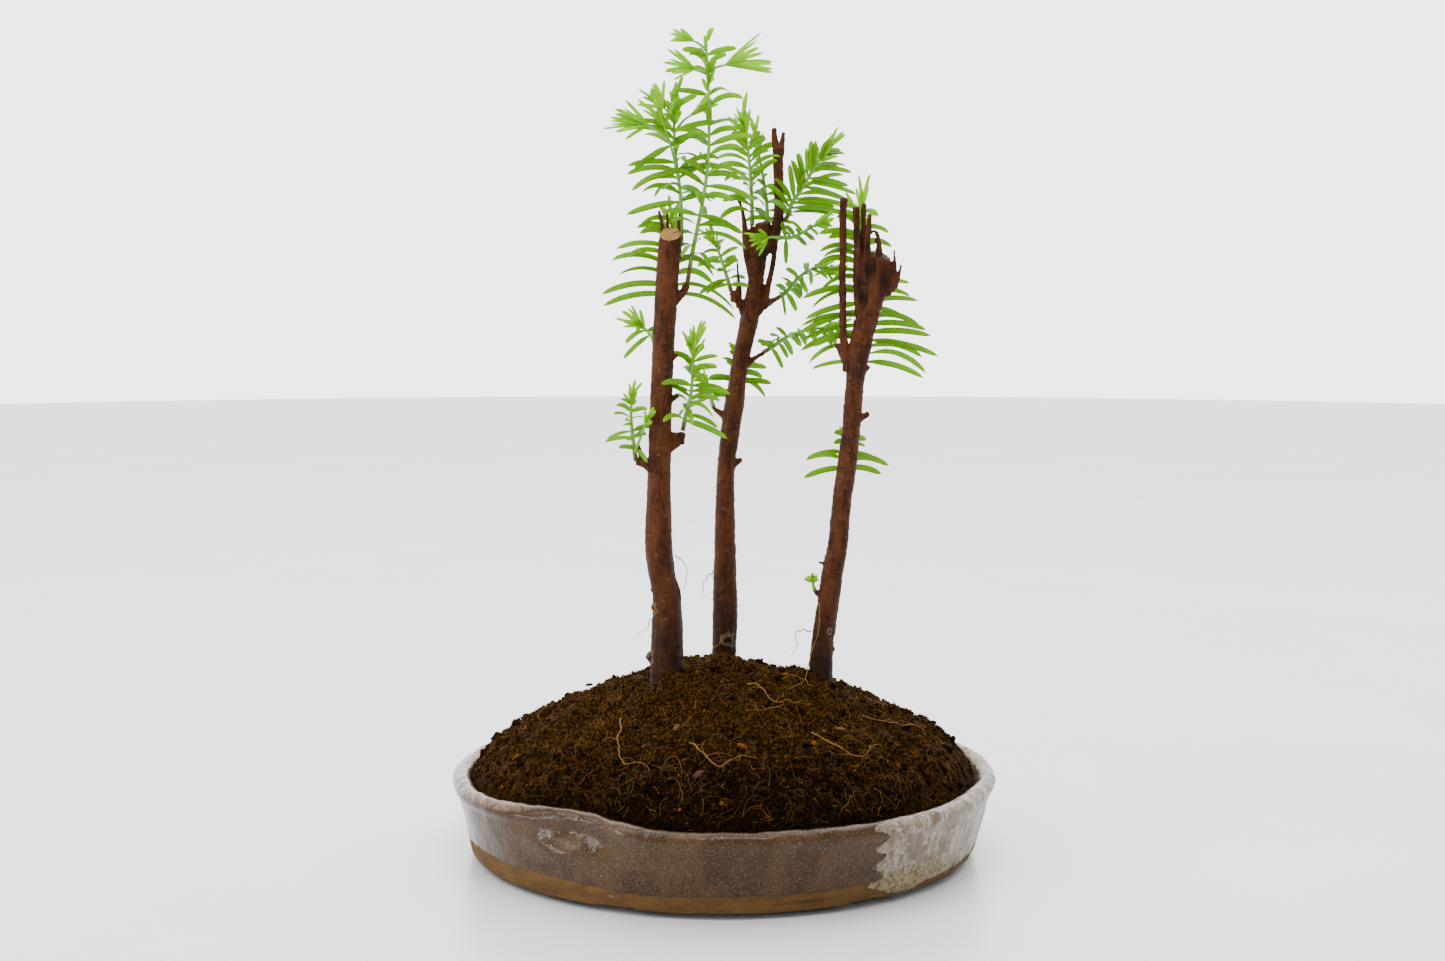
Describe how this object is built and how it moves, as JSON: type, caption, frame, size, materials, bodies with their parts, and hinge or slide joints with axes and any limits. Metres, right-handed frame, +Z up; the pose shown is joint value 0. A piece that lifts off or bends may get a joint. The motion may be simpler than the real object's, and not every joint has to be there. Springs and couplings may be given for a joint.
{
  "type": "potted bonsai tree",
  "caption": "Forest-style bonsai: slender cut conifer trunks with fresh narrow-leaved shoots, rising from heaped coir soil in a shallow round glazed stoneware pot with drainage holes.",
  "frame": {"origin": "on the table, under the middle of the pot", "axes": "+Z up along the trunks, -Y towards the front, where the rim is dented to the left, +X to the right"},
  "size_m": [0.24, 0.2398, 0.3562],
  "materials": {
    "glazed_stoneware": "gloss",
    "soil": "matte",
    "bark": "matte",
    "leaf": "satin",
    "coir_fibre": "matte",
    "screen_plastic": "matte",
    "clip_wire": "satin"
  },
  "bodies": {
    "root": {"pot": "glazed_stoneware", "soil_mound": "soil", "drain_mesh_left": "screen_plastic", "drain_mesh_right": "screen_plastic", "mesh_wire_left": "clip_wire", "mesh_wire_right": "clip_wire", "trunk_left": "bark", "trunk_middle": "bark", "trunk_right": "bark", "shoot_left_a": "leaf", "shoot_left_b": "leaf", "shoot_left_c": "leaf", "shoot_left_d": "leaf", "shoot_left_e": "leaf", "shoot_left_f": "leaf", "shoot_middle_a": "leaf", "shoot_middle_b": "leaf", "shoot_middle_c": "leaf", "shoot_middle_d": "leaf", "shoot_middle_e": "leaf", "shoot_middle_f": "leaf", "shoot_middle_g": "leaf", "shoot_middle_h": "leaf", "shoot_middle_i": "leaf", "shoot_right_a": "leaf", "shoot_right_b": "leaf", "shoot_right_c": "leaf", "root_fibre_1": "coir_fibre", "root_fibre_2": "coir_fibre", "root_fibre_3": "coir_fibre", "root_fibre_4": "coir_fibre", "root_fibre_5": "coir_fibre", "root_fibre_6": "coir_fibre", "bark_chip_1": "bark", "bark_chip_2": "bark", "bark_chip_3": "bark", "bark_chip_4": "bark", "bark_chip_5": "bark"}
  },
  "joints": []
}
